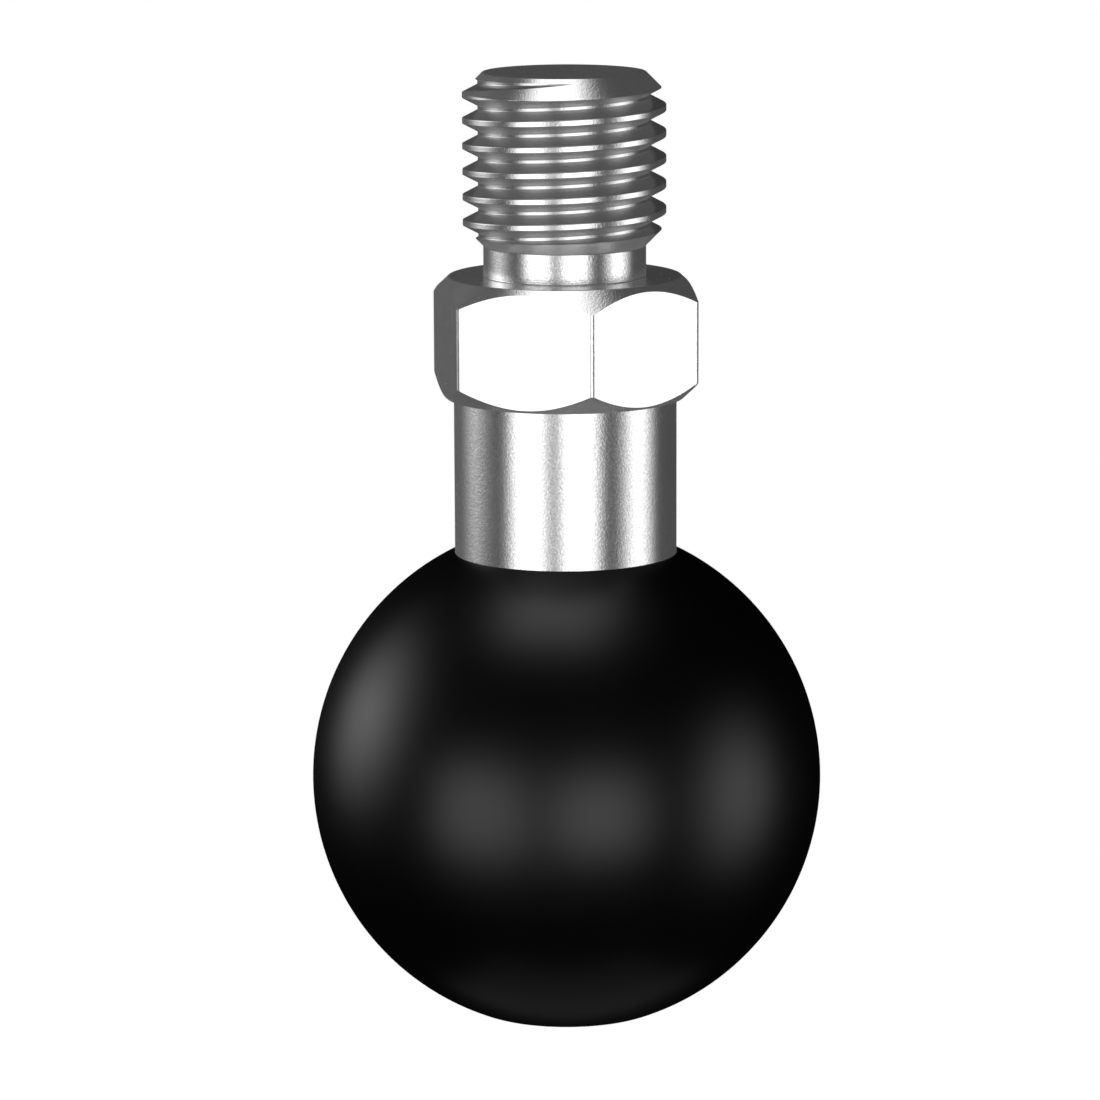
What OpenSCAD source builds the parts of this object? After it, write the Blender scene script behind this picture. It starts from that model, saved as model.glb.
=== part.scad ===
// Threaded ball adapter: a steel stud with a male thread, a relief neck, a
// hexagon and a round shank, and a black rubber ball moulded on its lower end.
// It stands on the ball's flat. Origin: the centre of that flat. +Z: along the
// stud, towards the tip of the thread. Two sides of the hexagon face -Y and +Y.
// Millimetres.

/* [Ball] */
// Diameter of the ball
ball_d = 25.4; // [22:0.1:32]
// Diameter of the flat that the ball stands on
ball_flat_d = 9.4; // [6:0.1:12]
// Diameter of the flat land on top of the ball, round the shank
ball_land_d = 11.4; // [11.2:0.1:14]

/* [Heights above the flat] */
// Underside of the hexagon
hex_bottom_h = 31; // [26:0.1:33]
// Upper face of the hexagon, where the part it is screwed into seats
hex_top_h = 37; // [35:0.1:38]
// Lower edge of the thread's run-out cone, which ends the relief neck
neck_top_h = 38.5; // [38.2:0.1:41]
// Tip of the thread
tip_h = 47; // [43:0.1:60]

/* [Hexagon and shank] */
// Hexagon, across its flats
hex_af = 12; // [11.4:0.1:17]
// Diameter of the flat land left by the chamfer on the hexagon's upper end
hex_top_land_d = 11.45; // [10:0.05:12]
// Diameter of the land left by the chamfer on the hexagon's lower end
hex_bottom_land_d = 11.75; // [11.1:0.05:12]
// Angle of the hexagon's chamfers, from the end faces
hex_chamfer_angle = 43; // [25:1:45]
// Radius that the hexagon bar's six corners are rounded to
hex_corner_r = 0.3; // [0.1:0.05:0.6]
// Diameter of the shank between the hexagon and the ball
shank_d = 11; // [8:0.1:11.1]

/* [Thread] */
// Major diameter of the thread (its pitch is 1.25, and the solid is its plain envelope)
thread_d = 10; // [8.5:0.1:11]
// Diameter of the relief neck under the thread
neck_d = 8; // [6:0.1:8.4]
// Diameter of the flat end face inside the tip's chamfer
tip_face_d = 8; // [6:0.1:8.4]

/* [Anchor inside the ball] */
// Depth of the anchor, from the land on top of the ball down
anchor_depth = 17.6; // [14:0.1:18]
// Diameter of the anchor's grooves
anchor_core_d = 7; // [5:0.1:9]
// Length of the shank that is inside the ball
anchor_shoulder = 3.6; // [2:0.1:5]
// Height of the upper rib, between the two grooves
anchor_rib_h = 3; // [2:0.1:4]
// Height of the head at the anchor's end
anchor_head_h = 4.5; // [3:0.1:5]
// Diameter of the lands left by the chamfers on the rib and the head
anchor_land_d = 12.2; // [11.8:0.1:12.8]

/* [Hidden] */
$fn = 128;

ball_r = ball_d / 2;
// height of the ball's centre above the flat it stands on
ball_c = sqrt(ball_r * ball_r - ball_flat_d * ball_flat_d / 4);
// height of the land on top of the ball
land_h = ball_c + sqrt(ball_r * ball_r - ball_land_d * ball_land_d / 4);

// the run-out cone and the tip's chamfer are both at 45 degrees
runout_h = (thread_d - neck_d) / 2;
tip_chamfer_h = (thread_d - tip_face_d) / 2;

anchor_bottom = land_h - anchor_depth;
shoulder_bottom = land_h - anchor_shoulder;
head_top = anchor_bottom + anchor_head_h;
// the rib is midway between the head and the shoulder
rib_bottom = (head_top + shoulder_bottom - anchor_rib_h) / 2;

// section of the hexagon bar: corners on +X and -X, flats facing +Y and -Y
module bar_section() {
    arc_c = (hex_af / 2 - hex_corner_r) / cos(30);
    // straight between the ends of the corners' arcs
    polygon([
        for (i = [0:5], side = [-30, 30])
            [arc_c * cos(60 * i) + hex_corner_r * cos(60 * i + side),
             arc_c * sin(60 * i) + hex_corner_r * sin(60 * i + side)]
    ]);
    // each arc crosses its two sides by a hair, 0.001 mm, instead of only touching them
    for (i = [0:5]) rotate(60 * i) translate([arc_c, 0]) circle(r = hex_corner_r + 0.001);
}

// a length of hexagon bar, its corners cut back by a cone at each end
module chamfered_hexagon(bottom, top, bottom_land, top_land) {
    corner_d = hex_af / cos(30);
    slope = tan(hex_chamfer_angle);
    low = (corner_d - bottom_land) / 2 * slope;
    high = (corner_d - top_land) / 2 * slope;
    intersection() {
        translate([0, 0, bottom]) linear_extrude(height = top - bottom) bar_section();
        rotate_extrude() polygon([
            [0, bottom],
            [bottom_land / 2, bottom],
            [corner_d / 2, bottom + low],
            [corner_d / 2 + 1, bottom + low],
            [corner_d / 2 + 1, top - high],
            [corner_d / 2, top - high],
            [top_land / 2, top],
            [0, top]
        ]);
    }
}

// everything on the stud that is turned round: core, shank, neck and thread
module turned_profile() {
    middle = (hex_bottom_h + hex_top_h) / 2;
    rotate_extrude() polygon([
        [0, anchor_bottom],
        [anchor_core_d / 2, anchor_bottom],
        [anchor_core_d / 2, shoulder_bottom],
        [shank_d / 2, shoulder_bottom],
        [shank_d / 2, middle],
        [neck_d / 2, middle],
        [neck_d / 2, neck_top_h],
        [thread_d / 2, neck_top_h + runout_h],
        [thread_d / 2, tip_h - tip_chamfer_h],
        [tip_face_d / 2, tip_h],
        [0, tip_h]
    ]);
}

module stud_solid() {
    union() {
        turned_profile();
        chamfered_hexagon(hex_bottom_h, hex_top_h, hex_bottom_land_d, hex_top_land_d);
        // the rib and the head keep the bar's hexagon, so the ball can't turn on them
        chamfered_hexagon(rib_bottom, rib_bottom + anchor_rib_h, anchor_land_d, anchor_land_d);
        chamfered_hexagon(anchor_bottom, head_top, anchor_land_d, anchor_land_d);
    }
}

module threaded_stud() {
    color([0.66, 0.66, 0.67]) stud_solid();
}

module rubber_ball() {
    color([0.06, 0.06, 0.06])
    difference() {
        rotate_extrude() intersection() {
            translate([0, ball_c]) circle(r = ball_r);
            square([ball_r + 1, land_h]);
        }
        stud_solid();
    }
}

threaded_stud();
rubber_ball();
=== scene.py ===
import math

import bpy
import numpy as np
from mathutils import Matrix, Vector


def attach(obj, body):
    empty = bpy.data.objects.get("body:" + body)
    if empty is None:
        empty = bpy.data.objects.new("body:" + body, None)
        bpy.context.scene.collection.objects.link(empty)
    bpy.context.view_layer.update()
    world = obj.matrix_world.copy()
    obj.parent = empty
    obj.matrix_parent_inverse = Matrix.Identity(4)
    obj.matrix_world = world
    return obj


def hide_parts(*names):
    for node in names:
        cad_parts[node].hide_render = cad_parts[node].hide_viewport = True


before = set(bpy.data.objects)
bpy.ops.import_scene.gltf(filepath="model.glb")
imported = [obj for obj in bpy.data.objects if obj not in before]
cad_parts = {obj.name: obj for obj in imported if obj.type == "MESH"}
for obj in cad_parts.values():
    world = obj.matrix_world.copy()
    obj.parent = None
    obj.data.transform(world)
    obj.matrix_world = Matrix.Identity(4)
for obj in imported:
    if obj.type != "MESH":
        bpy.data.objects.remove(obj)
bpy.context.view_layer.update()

MM = 0.001

# ---------------------------------------------------------------- sizes, in millimetres

BALL_R = 12.7
FLAT_R = 4.7                                    # the flat that the ball stands on
LAND_R = 5.7                                    # the land on top of the ball
BALL_C = math.sqrt(BALL_R**2 - FLAT_R**2)       # height of the ball's centre
LAND_H = BALL_C + math.sqrt(BALL_R**2 - LAND_R**2)

HEX_A = 6.0                                     # half of the distance across the flats
HEX_CORNER_R = 0.3
HEX_BOTTOM, HEX_TOP = 31.0, 37.0
HEX_TOP_LAND, HEX_BOTTOM_LAND = 5.725, 5.875
HEX_SLOPE = math.tan(math.radians(43))
SHANK_R = 5.5

NECK_R = 4.0
NECK_TOP = 38.5
TIP_H = 47.0
TIP_FACE_R = 4.0

PITCH = 1.25
CREST_R = 4.997
CREST_FLAT = 0.28
ROOT_R = 4.237
FLANK = math.radians(27.5)                      # each flank's slope, from a plane square to the axis
EDGE_R = 0.05                                   # the crest's and the root's edges are rounded to this
CREST_H = 42.76                                 # height of a crest's middle, at CREST_AT degrees
CREST_AT = 19.1

ANCHOR_BOTTOM = LAND_H - 17.6
SHOULDER_BOTTOM = LAND_H - 3.6
CORE_R = 3.5
HEAD_TOP = ANCHOR_BOTTOM + 4.5
RIB_BOTTOM = (HEAD_TOP + SHOULDER_BOTTOM - 3.0) / 2
RIB_TOP = RIB_BOTTOM + 3.0
ANCHOR_LAND = 6.1

# ---------------------------------------------------------------- the thread's profile


def thread_profile():
    """One pitch of the thread as (height, radius) points, from the middle of a crest up to the next one:
    a flat crest, straight flanks and a narrow flat root, with the crest's and the root's edges rounded."""
    bend = math.pi / 2 - FLANK

    def edge_arc(half, radius, outward):
        """The rounded edge of a flat, from the flat to the flank."""
        arc = []
        for k in range(4):
            a = bend * k / 3
            arc.append((
                half - EDGE_R * math.tan(bend / 2) + EDGE_R * math.sin(a),
                radius - outward * EDGE_R * (1 - math.cos(a)),
            ))
        return arc

    root_half = PITCH / 2 - CREST_FLAT / 2 - (CREST_R - ROOT_R) * math.tan(FLANK)
    half_pitch = edge_arc(CREST_FLAT / 2, CREST_R, 1)
    half_pitch += [(PITCH / 2 - h, r) for h, r in reversed(edge_arc(root_half, ROOT_R, -1))]
    return half_pitch + [(PITCH - h, r) for h, r in reversed(half_pitch)]


PROFILE = thread_profile()


def envelope(z):
    """Radius of the blank that the thread is cut in: a cone at each end."""
    return min(NECK_R + (z - NECK_TOP), TIP_FACE_R + (TIP_H - z))


def thread_lines():
    """(first height, radius) of each line of the profile, and the straight pieces between them."""
    lines = [(h, r) for h, r in PROFILE]
    pieces = []
    n = len(lines)
    for i in range(n):
        h1, r1 = lines[i]
        h2, r2 = lines[(i + 1) % n]
        if i == n - 1:
            h2 += PITCH
        pieces.append((h1, r1, h2, r2))
    return lines, pieces


LINES, PIECES = thread_lines()


def thread_offset(turn):
    """Height of the reference crest at that many turns round from +X, counter-clockwise."""
    return CREST_H + PITCH * (turn - CREST_AT / 360)


def creases(turn, low, high):
    """The heights at which the thread zone's section bends, at that angle. Each is (height, slope per turn, kind),
    and the radius along each line is linear, so a strip's other edge follows from the slope."""
    found = []
    base = thread_offset(turn)
    n0 = math.floor((low - base) / PITCH) - 1
    n1 = math.ceil((high - base) / PITCH) + 1
    for n in range(n0, n1 + 1):
        start = base + n * PITCH
        for h, r in LINES:
            z = start + h
            if low < z < high and r < envelope(z) - 1e-9:
                found.append((z, PITCH, 0))
        for h1, r1, h2, r2 in PIECES:
            m = (r2 - r1) / (h2 - h1)
            za = start + h1
            # run-out cone: r = NECK_R + z - NECK_TOP
            if abs(m - 1) > 1e-6:
                z = (r1 - m * za - NECK_R + NECK_TOP) / (1 - m)
                if start + h1 <= z < start + h2 and low < z < high and z < (NECK_TOP + TIP_H) / 2:
                    found.append((z, -m * PITCH / (1 - m), 1))
            # tip's chamfer: r = TIP_FACE_R + TIP_H - z
            if abs(m + 1) > 1e-6:
                z = (TIP_FACE_R + TIP_H - r1 + m * za) / (1 + m)
                if start + h1 <= z < start + h2 and low < z < high and z > (NECK_TOP + TIP_H) / 2:
                    found.append((z, m * PITCH / (1 + m), 1))
    return sorted(found)


def section_radius(z, turn):
    base = thread_offset(turn)
    h = (z - base) % PITCH
    for h1, r1, h2, r2 in PIECES:
        for s in (h, h + PITCH):
            if h1 - 1e-9 <= s <= h2 + 1e-9:
                return min(r1 + (r2 - r1) * (s - h1) / (h2 - h1), envelope(z))
    return min(CREST_R, envelope(z))


# ---------------------------------------------------------------- columns: the angles that every ring is cut at


def hexagon_radius(angle, a=HEX_A, corner=HEX_CORNER_R):
    """Radius of the hexagon bar's section, its corners on +X and -X rounded."""
    local = (angle + math.pi / 6) % (math.pi / 3) - math.pi / 6
    centre = (a - corner) / math.cos(math.pi / 6)
    end = math.atan2(corner * 0.5, centre + corner * math.cos(math.pi / 6))
    if abs(local) >= end:
        return a / math.cos(math.pi / 6 - abs(local))
    # where the ray at this angle meets the corner's arc
    return centre * math.cos(local) + math.sqrt(corner**2 - (centre * math.sin(local)) ** 2)


def make_columns():
    """Angles in turns: even ones, the ends of the hexagon's corner arcs, and those where the thread's lines meet a cone."""
    turns = []
    centre = (HEX_A - HEX_CORNER_R) / math.cos(math.pi / 6)
    inside = [
        math.atan2(HEX_CORNER_R * math.sin(b), centre + HEX_CORNER_R * math.cos(b))
        for b in np.radians([-30, -20, -10, 0, 10, 20, 30])
    ]
    start, end = inside[-1], math.pi / 3 - inside[-1]
    between = np.linspace(start, end, 39)[1:-1]
    for k in range(6):
        for a in [*inside, *between]:
            turns.append((k / 6 + a / (2 * math.pi)) % 1.0)
    special = []
    for h, r in LINES:
        for z in (NECK_TOP + r - NECK_R, TIP_H - (r - TIP_FACE_R)):
            special.append(((z - h - thread_offset(0)) / PITCH) % 1.0)
    # an even column that is very near a special one gives way to it, unless it is on a corner
    corner = set()
    for k in range(6):
        for a in inside:
            corner.add(round((k / 6 + a / (2 * math.pi)) % 1.0, 9))
    kept = []
    for t in turns:
        near = min(min(abs(t - s), 1 - abs(t - s)) for s in special)
        if round(t, 9) in corner or near > 0.0006:
            kept.append(t)
    for s in special:
        if all(min(abs(s - t), 1 - abs(s - t)) > 1e-9 for t in kept):
            kept.append(s)
    return sorted(kept)


TURNS = make_columns()
ANGLES = [2 * math.pi * t for t in TURNS]
HEX = [hexagon_radius(a) for a in ANGLES]
NCOL = len(TURNS)


# ---------------------------------------------------------------- mesh building


class Build:
    """Collects vertices and faces. Vertices are (radius, height) on a column, kept once each."""

    def __init__(self):
        self.co, self.faces, self.sharp, self.at = [], [], set(), {}
        self.column_of = []                     # the strip of columns that each face lies in

    def vertex(self, column, r, z):
        if r < 1e-9:
            column = 0
        key = (column % NCOL, round(r, 6), round(z, 6))
        if key not in self.at:
            a = ANGLES[column % NCOL]
            self.at[key] = len(self.co)
            self.co.append((r * math.cos(a) * MM, r * math.sin(a) * MM, z * MM))
        return self.at[key]

    def face(self, column, *corners):
        used = []
        for c in corners:
            if c not in used:
                used.append(c)
        if len(used) >= 3:
            self.faces.append(used)
            self.column_of.append(column)

    def edge(self, a, b):
        if a != b:
            self.sharp.add((min(a, b), max(a, b)))

    def crease(self, row):
        """Makes the edges along one row sharp."""
        for i in range(NCOL):
            self.edge(self.vertex(i, *row[i]), self.vertex(i + 1, *row[(i + 1) % NCOL]))

    def rows(self, rows, flip=False):
        """rows: each a list with one (radius, height) per column, from bottom to top, seen from outside."""
        for lower, upper in zip(rows[:-1], rows[1:]):
            for i in range(NCOL):
                j = (i + 1) % NCOL
                q = (
                    self.vertex(i, *lower[i]), self.vertex(j, *lower[j]),
                    self.vertex(j, *upper[j]), self.vertex(i, *upper[i]),
                )
                self.face(i, *(reversed(q) if flip else q))

    def corner_normals(self):
        """A normal for each corner of each face. At a vertex, the faces that no sharp edge parts share one normal, in
        which a face counts by the square of its area. What is turned or screwed has the same section all round, so
        its faces' normals are first carried round the axis to the vertex's own angle."""
        co = np.array(self.co) / MM
        about = np.arctan2(co[:, 1], co[:, 0])
        on_axis = np.hypot(co[:, 0], co[:, 1]) < 1e-6
        hexagon = np.array(HEX)
        normals, weights, flat = [], [], []
        for f, column in zip(self.faces, self.column_of):
            p = co[f]
            n = 0.5 * np.cross(p, np.roll(p, -1, axis=0)).sum(axis=0)
            area = np.linalg.norm(n)
            normals.append(n / area if area > 1e-12 else np.array((0.0, 0.0, 1.0)))
            weights.append(area * area)
            # a face along the hexagon bar is taken as it stands
            radii = np.hypot(p[:, 0], p[:, 1])
            bar = min(hexagon[column], hexagon[(column + 1) % NCOL]) - 1e-4
            flat.append(abs(normals[-1][2]) < 1e-6 and radii.min() > bar)
        # the faces round each vertex, joined over the edges that aren't sharp
        group = {}

        def find(k):
            while group[k] != k:
                group[k] = group[group[k]]
                k = group[k]
            return k

        sides = {}
        for i, f in enumerate(self.faces):
            for a, b in zip(f, f[1:] + f[:1]):
                group[(a, i)] = (a, i)
                sides.setdefault((min(a, b), max(a, b)), []).append(i)
        for (a, b), around in sides.items():
            if (a, b) not in self.sharp and len(around) == 2:
                for v in (a, b):
                    group[find((v, around[0]))] = find((v, around[1]))
        total = {}
        for i, f in enumerate(self.faces):
            column = self.column_of[i]
            middle = (TURNS[column] + (TURNS[column + 1] if column + 1 < NCOL else TURNS[0] + 1)) * math.pi
            for v in f:
                n = normals[i]
                if not flat[i] and not on_axis[v]:
                    c, s = math.cos(about[v] - middle), math.sin(about[v] - middle)
                    n = np.array((c * n[0] - s * n[1], s * n[0] + c * n[1], n[2]))
                k = find((v, i))
                total[k] = total.get(k, 0.0) + weights[i] * n
        out = []
        for i, f in enumerate(self.faces):
            for v in f:
                n = total[find((v, i))]
                out.append(tuple(n / max(np.linalg.norm(n), 1e-30)))
        return out

    def object(self, name):
        mesh = bpy.data.meshes.new(name)
        mesh.from_pydata(self.co, [], self.faces)
        mesh.validate()
        mesh.update()
        mesh.polygons.foreach_set("use_smooth", [True] * len(mesh.polygons))
        if self.sharp:
            flags = mesh.attributes.new("sharp_edge", "BOOLEAN", "EDGE")
            keys = {tuple(sorted(e.vertices)): e.index for e in mesh.edges}
            for s in self.sharp:
                if s in keys:
                    flags.data[keys[s]].value = True
        assert [v for f in self.faces for v in f] == [x.vertex_index for x in mesh.loops], name
        mesh.normals_split_custom_set(self.corner_normals())
        o = bpy.data.objects.new(name, mesh)
        bpy.context.scene.collection.objects.link(o)
        return o


def rounded(points, sizes, steps=3):
    """A section's corner points as a smooth run of points: each inner corner becomes a small curve of that size."""
    out = [points[0]]
    for before, p, after, e in zip(points[:-2], points[1:-1], points[2:], sizes):
        if e <= 0:
            out.append(p)
            continue
        u = np.subtract(before, p)
        v = np.subtract(after, p)
        lu, lv = np.linalg.norm(u), np.linalg.norm(v)
        k = min(e, 0.45 * lu, 0.45 * lv)
        a, b = np.add(p, u / lu * k), np.add(p, v / lv * k)
        for s in range(steps + 1):
            t = s / steps
            out.append(tuple((1 - t) ** 2 * a + 2 * t * (1 - t) * np.array(p) + t * t * b))
    out.append(points[-1])
    return out


def rings(section):
    """section(column) gives the points of that column's section; this turns them into rows."""
    columns = [section(i) for i in range(NCOL)]
    return [list(row) for row in zip(*columns)]


# the stud's section from the anchor's bottom to the shoulder, which the ball's cavity shares
def anchor_section(i):
    hx = HEX[i]
    drop = (hx - ANCHOR_LAND) * HEX_SLOPE
    pts = [
        (0, ANCHOR_BOTTOM),
        (ANCHOR_LAND, ANCHOR_BOTTOM) if hx > ANCHOR_LAND else (hx - 1e-3, ANCHOR_BOTTOM),
        (hx, ANCHOR_BOTTOM + max(drop, 0.001)),
        (hx, HEAD_TOP - max(drop, 0.001)),
        (min(ANCHOR_LAND, hx - 1e-3), HEAD_TOP),
        (CORE_R, HEAD_TOP),
        (CORE_R, RIB_BOTTOM),
        (min(ANCHOR_LAND, hx - 1e-3), RIB_BOTTOM),
        (hx, RIB_BOTTOM + max(drop, 0.001)),
        (hx, RIB_TOP - max(drop, 0.001)),
        (min(ANCHOR_LAND, hx - 1e-3), RIB_TOP),
        (CORE_R, RIB_TOP),
        (CORE_R, SHOULDER_BOTTOM),
        (SHANK_R, SHOULDER_BOTTOM),
        (SHANK_R, LAND_H),
    ]
    e = [0.0] * (len(pts) - 2)
    return rounded(pts, e)


def body_section(i):
    """From where the shank leaves the ball up to the lower part of the run-out cone."""
    hx = HEX[i]
    low = (hx - HEX_BOTTOM_LAND) * HEX_SLOPE
    high = (hx - HEX_TOP_LAND) * HEX_SLOPE
    pts = [
        (SHANK_R, LAND_H),
        (SHANK_R, HEX_BOTTOM),
        (HEX_BOTTOM_LAND, HEX_BOTTOM),
        (hx, HEX_BOTTOM + low),
        (hx, HEX_TOP - high),
        (HEX_TOP_LAND, HEX_TOP),
        (NECK_R, HEX_TOP),
        (NECK_R, NECK_TOP),
        (NECK_R + 0.12, NECK_TOP + 0.12),
    ]
    e = [0.05, 0.04, 0.035, 0, 0.05, 0.06, 0.05]
    return rounded(pts, e)


def tip_section(i):
    pts = [
        (TIP_FACE_R + 0.12, TIP_H - 0.12),
        (TIP_FACE_R, TIP_H),
        (0, TIP_H),
    ]
    return rounded(pts, [0.05])


def thread_zone(b):
    """The threaded part between the two clean cones: each strip between two columns is cut where the section bends."""
    low, high = NECK_TOP + 0.12, TIP_H - 0.12
    for i in range(NCOL):
        t0 = TURNS[i]
        t1 = TURNS[i + 1] if i + 1 < NCOL else TURNS[0] + 1
        mid = (t0 + t1) / 2
        edges = [(low, 0.0, 2)] + creases(mid, low, high) + [(high, 0.0, 2)]
        left, right = [], []
        for z, slope, kind in edges:
            for t, side, column in ((t0, left, i), (t1, right, i + 1)):
                zz = z + slope * (t - mid)
                zz = min(max(zz, low), high)
                r = section_radius(zz, t) if kind != 2 else envelope(zz)
                side.append(b.vertex(column, r, zz))
        for k in range(len(edges) - 1):
            b.face(i, left[k], right[k], right[k + 1], left[k + 1])
        for k, (_, _, kind) in enumerate(edges):
            if kind == 1:
                b.edge(left[k], right[k])


def make_stud():
    b = Build()
    b.rows(rings(anchor_section))
    body = rings(body_section)
    b.rows(body)
    # the top chamfer meets the sides of the hexagon in a sharp edge
    b.crease(next(row for row in body if all(r == hx for (r, _), hx in zip(row, HEX)) and row[0][1] > HEX_TOP - 3))
    thread_zone(b)
    b.rows(rings(tip_section))
    return b.object("stud")


def ball_section():
    """The ball's own outline, from the middle of its flat round to the edge of the hole that the shank fills."""
    pts = [(0.0, 0.0), (FLAT_R * 0.5, 0.0)]
    skin_r = BALL_R - 0.006                     # a hair smaller, to stay inside the box of the CAD ball's facets
    a0 = math.asin(FLAT_R / BALL_R)
    a1 = math.pi - math.asin((SHANK_R + 0.02) / skin_r)
    # the flat's edge is a small curve that meets both the flat and the sphere
    soft0, soft1 = math.radians(1.6), math.radians(0.15)
    first = (FLAT_R - 0.3, 0.0)
    joint = (skin_r * math.sin(a0 + soft0), BALL_C - skin_r * math.cos(a0 + soft0))
    for s in range(5):
        t = s / 4
        p = (1 - t) ** 2 * np.array(first) + 2 * t * (1 - t) * np.array((FLAT_R, 0.0)) + t * t * np.array(joint)
        pts.append(tuple(p))
    n = 96
    for s in range(1, n):
        a = a0 + soft0 + (a1 - soft1 - a0 - soft0) * s / n
        pts.append((skin_r * math.sin(a), BALL_C - skin_r * math.cos(a)))
    joint = (skin_r * math.sin(a1 - soft1), BALL_C - skin_r * math.cos(a1 - soft1))
    # the rubber climbs the shank to a thin rounded lip, a hair above the land that the CAD ball has there
    lip = (skin_r * math.sin(a1), BALL_C - skin_r * math.cos(a1))
    last = (SHANK_R, lip[1] - 0.03)
    for s in range(5):
        t = s / 4
        p = (1 - t) ** 2 * np.array(joint) + 2 * t * (1 - t) * np.array(lip) + t * t * np.array(last)
        pts.append(tuple(p))
    pts.append((SHANK_R, LAND_H))
    return pts


def make_ball():
    b = Build()
    outline = ball_section()
    b.rows([[p] * NCOL for p in outline])
    b.rows(rings(anchor_section), flip=True)
    return b.object("ball")


stud = make_stud()
ball = make_ball()

# ---------------------------------------------------------------- materials


class Nodes:
    def __init__(self, tree):
        self.tree = tree

    def add(self, kind, inputs=None, **props):
        n = self.tree.nodes.new(kind)
        for k, v in props.items():
            setattr(n, k, v)
        for k, v in (inputs or {}).items():
            if isinstance(v, bpy.types.NodeSocket):
                self.tree.links.new(v, n.inputs[k])
            else:
                n.inputs[k].default_value = v
        return n

    def math(self, op, *values, clamp=False):
        n = self.tree.nodes.new("ShaderNodeMath")
        n.operation = op
        n.use_clamp = clamp
        for i, v in enumerate(values):
            if isinstance(v, bpy.types.NodeSocket):
                self.tree.links.new(v, n.inputs[i])
            else:
                n.inputs[i].default_value = v
        return n.outputs[0]

    def vmath(self, op, *values):
        n = self.tree.nodes.new("ShaderNodeVectorMath")
        n.operation = op
        for i, v in enumerate(values):
            if isinstance(v, bpy.types.NodeSocket):
                self.tree.links.new(v, n.inputs[i])
            else:
                n.inputs[i].default_value = v
        return n.outputs["Value"] if op in ("DOT_PRODUCT", "LENGTH") else n.outputs["Vector"]

    def remap(self, value, a, b, c, d, kind="LINEAR"):
        n = self.tree.nodes.new("ShaderNodeMapRange")
        n.interpolation_type = kind
        n.clamp = True
        self.tree.links.new(value, n.inputs["Value"])
        for k, v in zip(("From Min", "From Max", "To Min", "To Max"), (a, b, c, d)):
            n.inputs[k].default_value = v
        return n.outputs["Result"]


def new_material(name):
    m = bpy.data.materials.new(name)
    m.use_nodes = True
    m.node_tree.nodes.clear()
    n = Nodes(m.node_tree)
    shader = n.add("ShaderNodeBsdfPrincipled")
    out = n.add("ShaderNodeOutputMaterial")
    m.node_tree.links.new(shader.outputs[0], out.inputs["Surface"])
    return m, n, shader


STEEL_TONE = 0.63
STEEL_METAL = 0.9
STEEL_MATT = STEEL_TONE * (1 - STEEL_METAL)     # the share of light that the steel scatters


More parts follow.
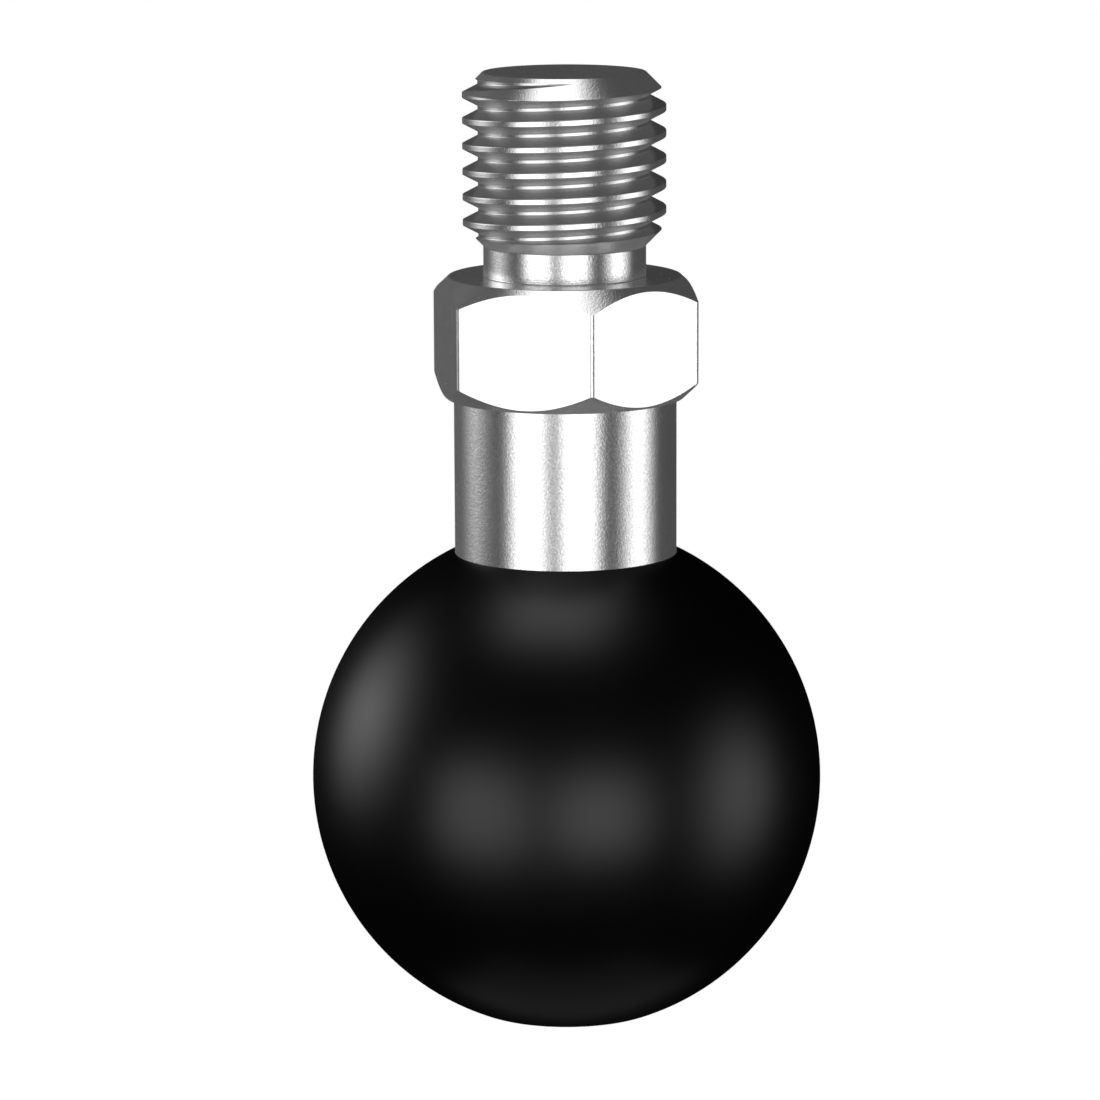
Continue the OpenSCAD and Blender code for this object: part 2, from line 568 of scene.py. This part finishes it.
def steel_material():
    m, n, s = new_material("turned_steel")
    place = n.add("ShaderNodeTexCoord").outputs["Object"]
    x_y_z = n.add("ShaderNodeSeparateXYZ", {"Vector": place}).outputs
    # radius and height, so that a pattern of them alone runs round the piece like a tool's marks
    radius = n.math("SQRT", n.math("ADD", n.math("MULTIPLY", x_y_z[0], x_y_z[0]), n.math("MULTIPLY", x_y_z[1], x_y_z[1])))
    turned = n.add("ShaderNodeCombineXYZ", {"X": radius, "Y": 0.0, "Z": x_y_z[2]}).outputs[0]
    marks = n.add("ShaderNodeTexNoise", {"Vector": turned, "Scale": 9000.0, "Detail": 2.0, "Roughness": 0.6}).outputs["Fac"]
    grain = n.add("ShaderNodeTexNoise", {"Vector": place, "Scale": 11000.0, "Detail": 1.0, "Roughness": 0.5}).outputs["Fac"]
    cloud = n.add("ShaderNodeTexNoise", {"Vector": place, "Scale": 260.0, "Detail": 3.0, "Roughness": 0.6}).outputs["Fac"]
    tone = n.add("ShaderNodeMixRGB", {
        "Fac": n.remap(cloud, 0.3, 0.7, 0.0, 1.0),
        "Color1": (STEEL_TONE - 0.02, STEEL_TONE - 0.02, STEEL_TONE - 0.02, 1),
        "Color2": (STEEL_TONE + 0.02, STEEL_TONE + 0.02, STEEL_TONE + 0.02, 1),
    }).outputs[0]
    # painted shade: the thread's groove gets a darker colour than the rest of the steel, its flanks more so than its
    # root, standing in for the shade that falls in the groove
    z_mm = n.math("MULTIPLY", x_y_z[2], 1000.0)
    r_mm = n.math("MULTIPLY", radius, 1000.0)
    blank = n.math("MINIMUM", n.math("ADD", z_mm, NECK_R - NECK_TOP), n.math("SUBTRACT", TIP_FACE_R + TIP_H, z_mm))
    depth = n.math("SUBTRACT", n.math("MINIMUM", blank, CREST_R), r_mm)
    groove_shade = n.math("MULTIPLY", n.remap(depth, 0.005, 0.035, 0.0, 1.0), n.remap(r_mm, 4.10, 4.20, 0.0, 1.0))
    groove_shade = n.math("MULTIPLY", groove_shade, n.remap(r_mm, ROOT_R + 0.02, ROOT_R + 0.06, 0.4, 1.0))
    # the groove's painted shade is mixed into the steel's colour here
    tone = n.add("ShaderNodeMixRGB", {"Fac": groove_shade, "Color1": tone, "Color2": (0.42, 0.42, 0.42, 1)}).outputs[0]
    # the round faces of the shank and the neck are finely speckled, and a little smoother than the rest
    round_face = n.math("MULTIPLY", n.remap(r_mm, 5.52, 5.56, 1.0, 0.0), n.remap(z_mm, 38.45, 38.55, 1.0, 0.0))
    speckle = n.add("ShaderNodeTexNoise", {"Vector": place, "Scale": 9000.0, "Detail": 0.0}).outputs["Fac"]
    gain = n.math("ADD", n.math("MULTIPLY", n.remap(speckle, 0.2, 0.8, -0.13, 0.13), round_face), 1.0)
    tone = n.vmath("MULTIPLY", tone, n.add("ShaderNodeCombineXYZ", {"X": gain, "Y": gain, "Z": gain}).outputs[0])
    n.tree.links.new(tone, s.inputs["Base Color"])
    s.inputs["Metallic"].default_value = STEEL_METAL
    s.inputs["Specular IOR Level"].default_value = 0.0
    n.tree.links.new(n.remap(grain, 0.3, 0.7, 0.185, 0.215), s.inputs["Roughness"])
    height = n.math("ADD", n.math("MULTIPLY", marks, 0.35), n.math("MULTIPLY", grain, 1.0))
    height = n.math("MULTIPLY", height, n.math("SUBTRACT", 1.0, n.math("MULTIPLY", round_face, 0.2)))
    bump = n.add("ShaderNodeBump", {"Strength": 0.5, "Distance": 0.000014, "Height": height})
    n.tree.links.new(bump.outputs[0], s.inputs["Normal"])
    return m


def rubber_material():
    m, n, s = new_material("black_rubber")
    place = n.add("ShaderNodeTexCoord").outputs["Object"]
    fine = n.add("ShaderNodeTexNoise", {"Vector": place, "Scale": 5200.0, "Detail": 2.0, "Roughness": 0.6}).outputs["Fac"]
    cloud = n.add("ShaderNodeTexNoise", {"Vector": place, "Scale": 160.0, "Detail": 3.0, "Roughness": 0.55}).outputs["Fac"]
    tone = n.add("ShaderNodeMixRGB", {
        "Fac": n.remap(cloud, 0.3, 0.7, 0.0, 1.0),
        "Color1": (0.010, 0.010, 0.0105, 1),
        "Color2": (0.014, 0.014, 0.0145, 1),
    }).outputs[0]
    n.tree.links.new(tone, s.inputs["Base Color"])
    n.tree.links.new(n.remap(n.math("ADD", n.math("MULTIPLY", cloud, 0.7), n.math("MULTIPLY", fine, 0.3)), 0.3, 0.7, 0.325, 0.35), s.inputs["Roughness"])
    s.inputs["Specular IOR Level"].default_value = 0.39
    bump = n.add("ShaderNodeBump", {"Strength": 0.25, "Distance": 0.000005, "Height": fine})
    n.tree.links.new(bump.outputs[0], s.inputs["Normal"])
    return m


steel = steel_material()
rubber = rubber_material()
for piece, material in ((stud, steel), (ball, rubber)):
    piece.data.materials.clear()
    piece.data.materials.append(material)
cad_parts["threaded_stud"].data.materials.clear()
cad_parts["threaded_stud"].data.materials.append(steel)
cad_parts["rubber_ball"].data.materials.clear()
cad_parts["rubber_ball"].data.materials.append(rubber)

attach(stud, "root")
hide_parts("threaded_stud")
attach(ball, "root")
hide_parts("rubber_ball")

# ---------------------------------------------------------------- camera

CAM_AZ = math.radians(19.1)                     # the camera stands this far round from -Y towards +X
FOCAL = 4863.9                                  # in pixels of the 1100 pixel frame
BACK, UP = 237.44, 56.42                        # from the ball's centre, in millimetres
PITCH_DOWN, YAW, ROLL = 0.1872, -0.0033, -0.0043

turn = Matrix.Rotation(CAM_AZ, 3, "Z")
f = Vector((math.sin(YAW) * math.cos(PITCH_DOWN), math.cos(YAW) * math.cos(PITCH_DOWN), -math.sin(PITCH_DOWN)))
r = Vector((math.cos(YAW), -math.sin(YAW), 0))
u = r.cross(f)
right = math.cos(ROLL) * r + math.sin(ROLL) * u
up = -math.sin(ROLL) * r + math.cos(ROLL) * u
right, up, f = turn @ right, turn @ up, turn @ f
camera = bpy.data.objects.new("camera", bpy.data.cameras.new("camera"))
bpy.context.scene.collection.objects.link(camera)
camera.data.sensor_width = 36
camera.data.lens = 18 * FOCAL / 550
camera.data.clip_start, camera.data.clip_end = 0.01, 100
where = turn @ Vector((0, -BACK, UP)) * MM + Vector((0, 0, BALL_C * MM))
camera.matrix_world = Matrix((
    (right.x, up.x, -f.x, where.x),
    (right.y, up.y, -f.y, where.y),
    (right.z, up.z, -f.z, where.z),
    (0, 0, 0, 1),
))
bpy.context.scene.camera = camera

# ---------------------------------------------------------------- floor

fb = [(-3, -3, -0.00002), (3, -3, -0.00002), (3, 3, -0.00002), (-3, 3, -0.00002)]
floor_mesh = bpy.data.meshes.new("floor")
floor_mesh.from_pydata(fb, [], [(0, 1, 2, 3)])
floor = bpy.data.objects.new("floor", floor_mesh)
bpy.context.scene.collection.objects.link(floor)
fm, fn, fs = new_material("floor")
fs.inputs["Base Color"].default_value = (0.8, 0.8, 0.8, 1)
fs.inputs["Roughness"].default_value = 1.0
fs.inputs["Specular IOR Level"].default_value = 0.0
fs.inputs["Emission Color"].default_value = (1, 1, 1, 1)
fs.inputs["Emission Strength"].default_value = 1.0
# seen from below, the floor is left out, so that the underside can be looked at
through = fn.add("ShaderNodeBsdfTransparent")
behind = fn.add("ShaderNodeNewGeometry").outputs["Backfacing"]
mixed = fn.add("ShaderNodeMixShader", {0: behind, 1: fs.outputs[0], 2: through.outputs[0]})
out = next(x for x in fm.node_tree.nodes if x.type == "OUTPUT_MATERIAL")
fm.node_tree.links.new(mixed.outputs[0], out.inputs["Surface"])
floor_mesh.materials.append(fm)
floor.visible_glossy = False
floor.visible_diffuse = False
floor.visible_shadow = False

# ---------------------------------------------------------------- light: a dark room with soft boxes round the object

H0 = Vector((math.sin(CAM_AZ), -math.cos(CAM_AZ), 0))   # towards the camera
R0 = Vector((math.cos(CAM_AZ), math.sin(CAM_AZ), 0))    # to the camera's right


def towards(az, el):
    az, el = math.radians(az), math.radians(el)
    return (math.cos(az) * H0 + math.sin(az) * R0) * math.cos(el) + Vector((0, 0, math.sin(el)))


# azimuth from the camera to its right, elevation, half width, half height, width of the soft edge, all in degrees,
# then how bright it is, and how much of the steel's matt share it lights
BOXES = [
    (-107.8, 12.5, 13.3, 11.3, 40.4, 4.45, 0.074),
    (-38.4, -5.2, 18.9, 16.7, 22.7, 2.40, 0.038),
    (14.3, -5.3, 19.1, 15.6, 21.5, 2.51, 0.019),
    (81.0, -4.5, 14.3, 15.5, 32.3, 2.43, 0.050),
    (-102.6, 86.2, 15.3, 17.6, 16.7, 2.10, 0.040),
    (176.8, -74.6, 22.5, 23.1, 2.1, 0.12, 0.085),
]

world = bpy.data.worlds.new("studio")
bpy.context.scene.world = world
world.use_nodes = True
world.node_tree.nodes.clear()
w = Nodes(world.node_tree)
way = w.add("ShaderNodeTexCoord").outputs["Generated"]
total = None
for az, el, hw, hh, soft, strength, _ in BOXES:
    c = towards(az, el)
    side = Vector((0, 0, 1)).cross(c).normalized()
    top = c.cross(side).normalized()
    forward = w.vmath("DOT_PRODUCT", way, tuple(c))
    safe = w.math("MAXIMUM", forward, 0.001)
    mask = None
    for axis, half in ((side, hw), (top, hh)):
        across = w.math("DIVIDE", w.math("ABSOLUTE", w.vmath("DOT_PRODUCT", way, tuple(axis))), safe)
        angle = w.math("ARCTANGENT", across)
        part = w.remap(angle, math.radians(half - soft / 2), math.radians(half + soft / 2), 1.0, 0.0, "SMOOTHSTEP")
        mask = part if mask is None else w.math("MULTIPLY", mask, part)
    mask = w.math("MULTIPLY", mask, w.math("GREATER_THAN", forward, 0.0))
    lit = w.math("MULTIPLY", mask, strength)
    total = lit if total is None else w.math("ADD", total, lit)
seen = w.add("ShaderNodeLightPath").outputs["Is Camera Ray"]
picked = w.add("ShaderNodeMix", {0: seen, 2: total, 3: 1.0}, data_type="FLOAT")
background = w.add("ShaderNodeBackground", {"Color": (1, 1, 1, 1), "Strength": picked.outputs[0]})
w.add("ShaderNodeOutputWorld", {"Surface": background.outputs[0]})
# the soft boxes are only mirrored; what is matt is lit by one lamp for each of them
world.cycles_visibility.diffuse = False
matt = bpy.data.collections.new("matt")
matt.objects.link(stud)
# and one more at the back, where the photo's view doesn't see its light, keeps the back from being dark
for k, (az, el, *_, share) in enumerate(BOXES + [(180, -10, 0.08)]):
    lamp = bpy.data.objects.new(f"lamp_{k}", bpy.data.lights.new(f"lamp_{k}", "SUN"))
    bpy.context.scene.collection.objects.link(lamp)
    lamp.data.energy = share * math.pi / STEEL_MATT
    lamp.data.angle = math.radians(40)
    lamp.rotation_mode = "QUATERNION"
    lamp.rotation_quaternion = towards(az, el).to_track_quat("Z", "Y")
    lamp.visible_glossy = False
    lamp.light_linking.receiver_collection = matt
    # only the lamp on the left throws shadows
    lamp.data.use_shadow = k == 0
# the object mirrors itself, but no light is scattered from one part of it to another
for piece in (stud, ball):
    piece.visible_diffuse = False

bpy.context.scene.view_settings.view_transform = "Standard"
bpy.context.scene.view_settings.look = "None"
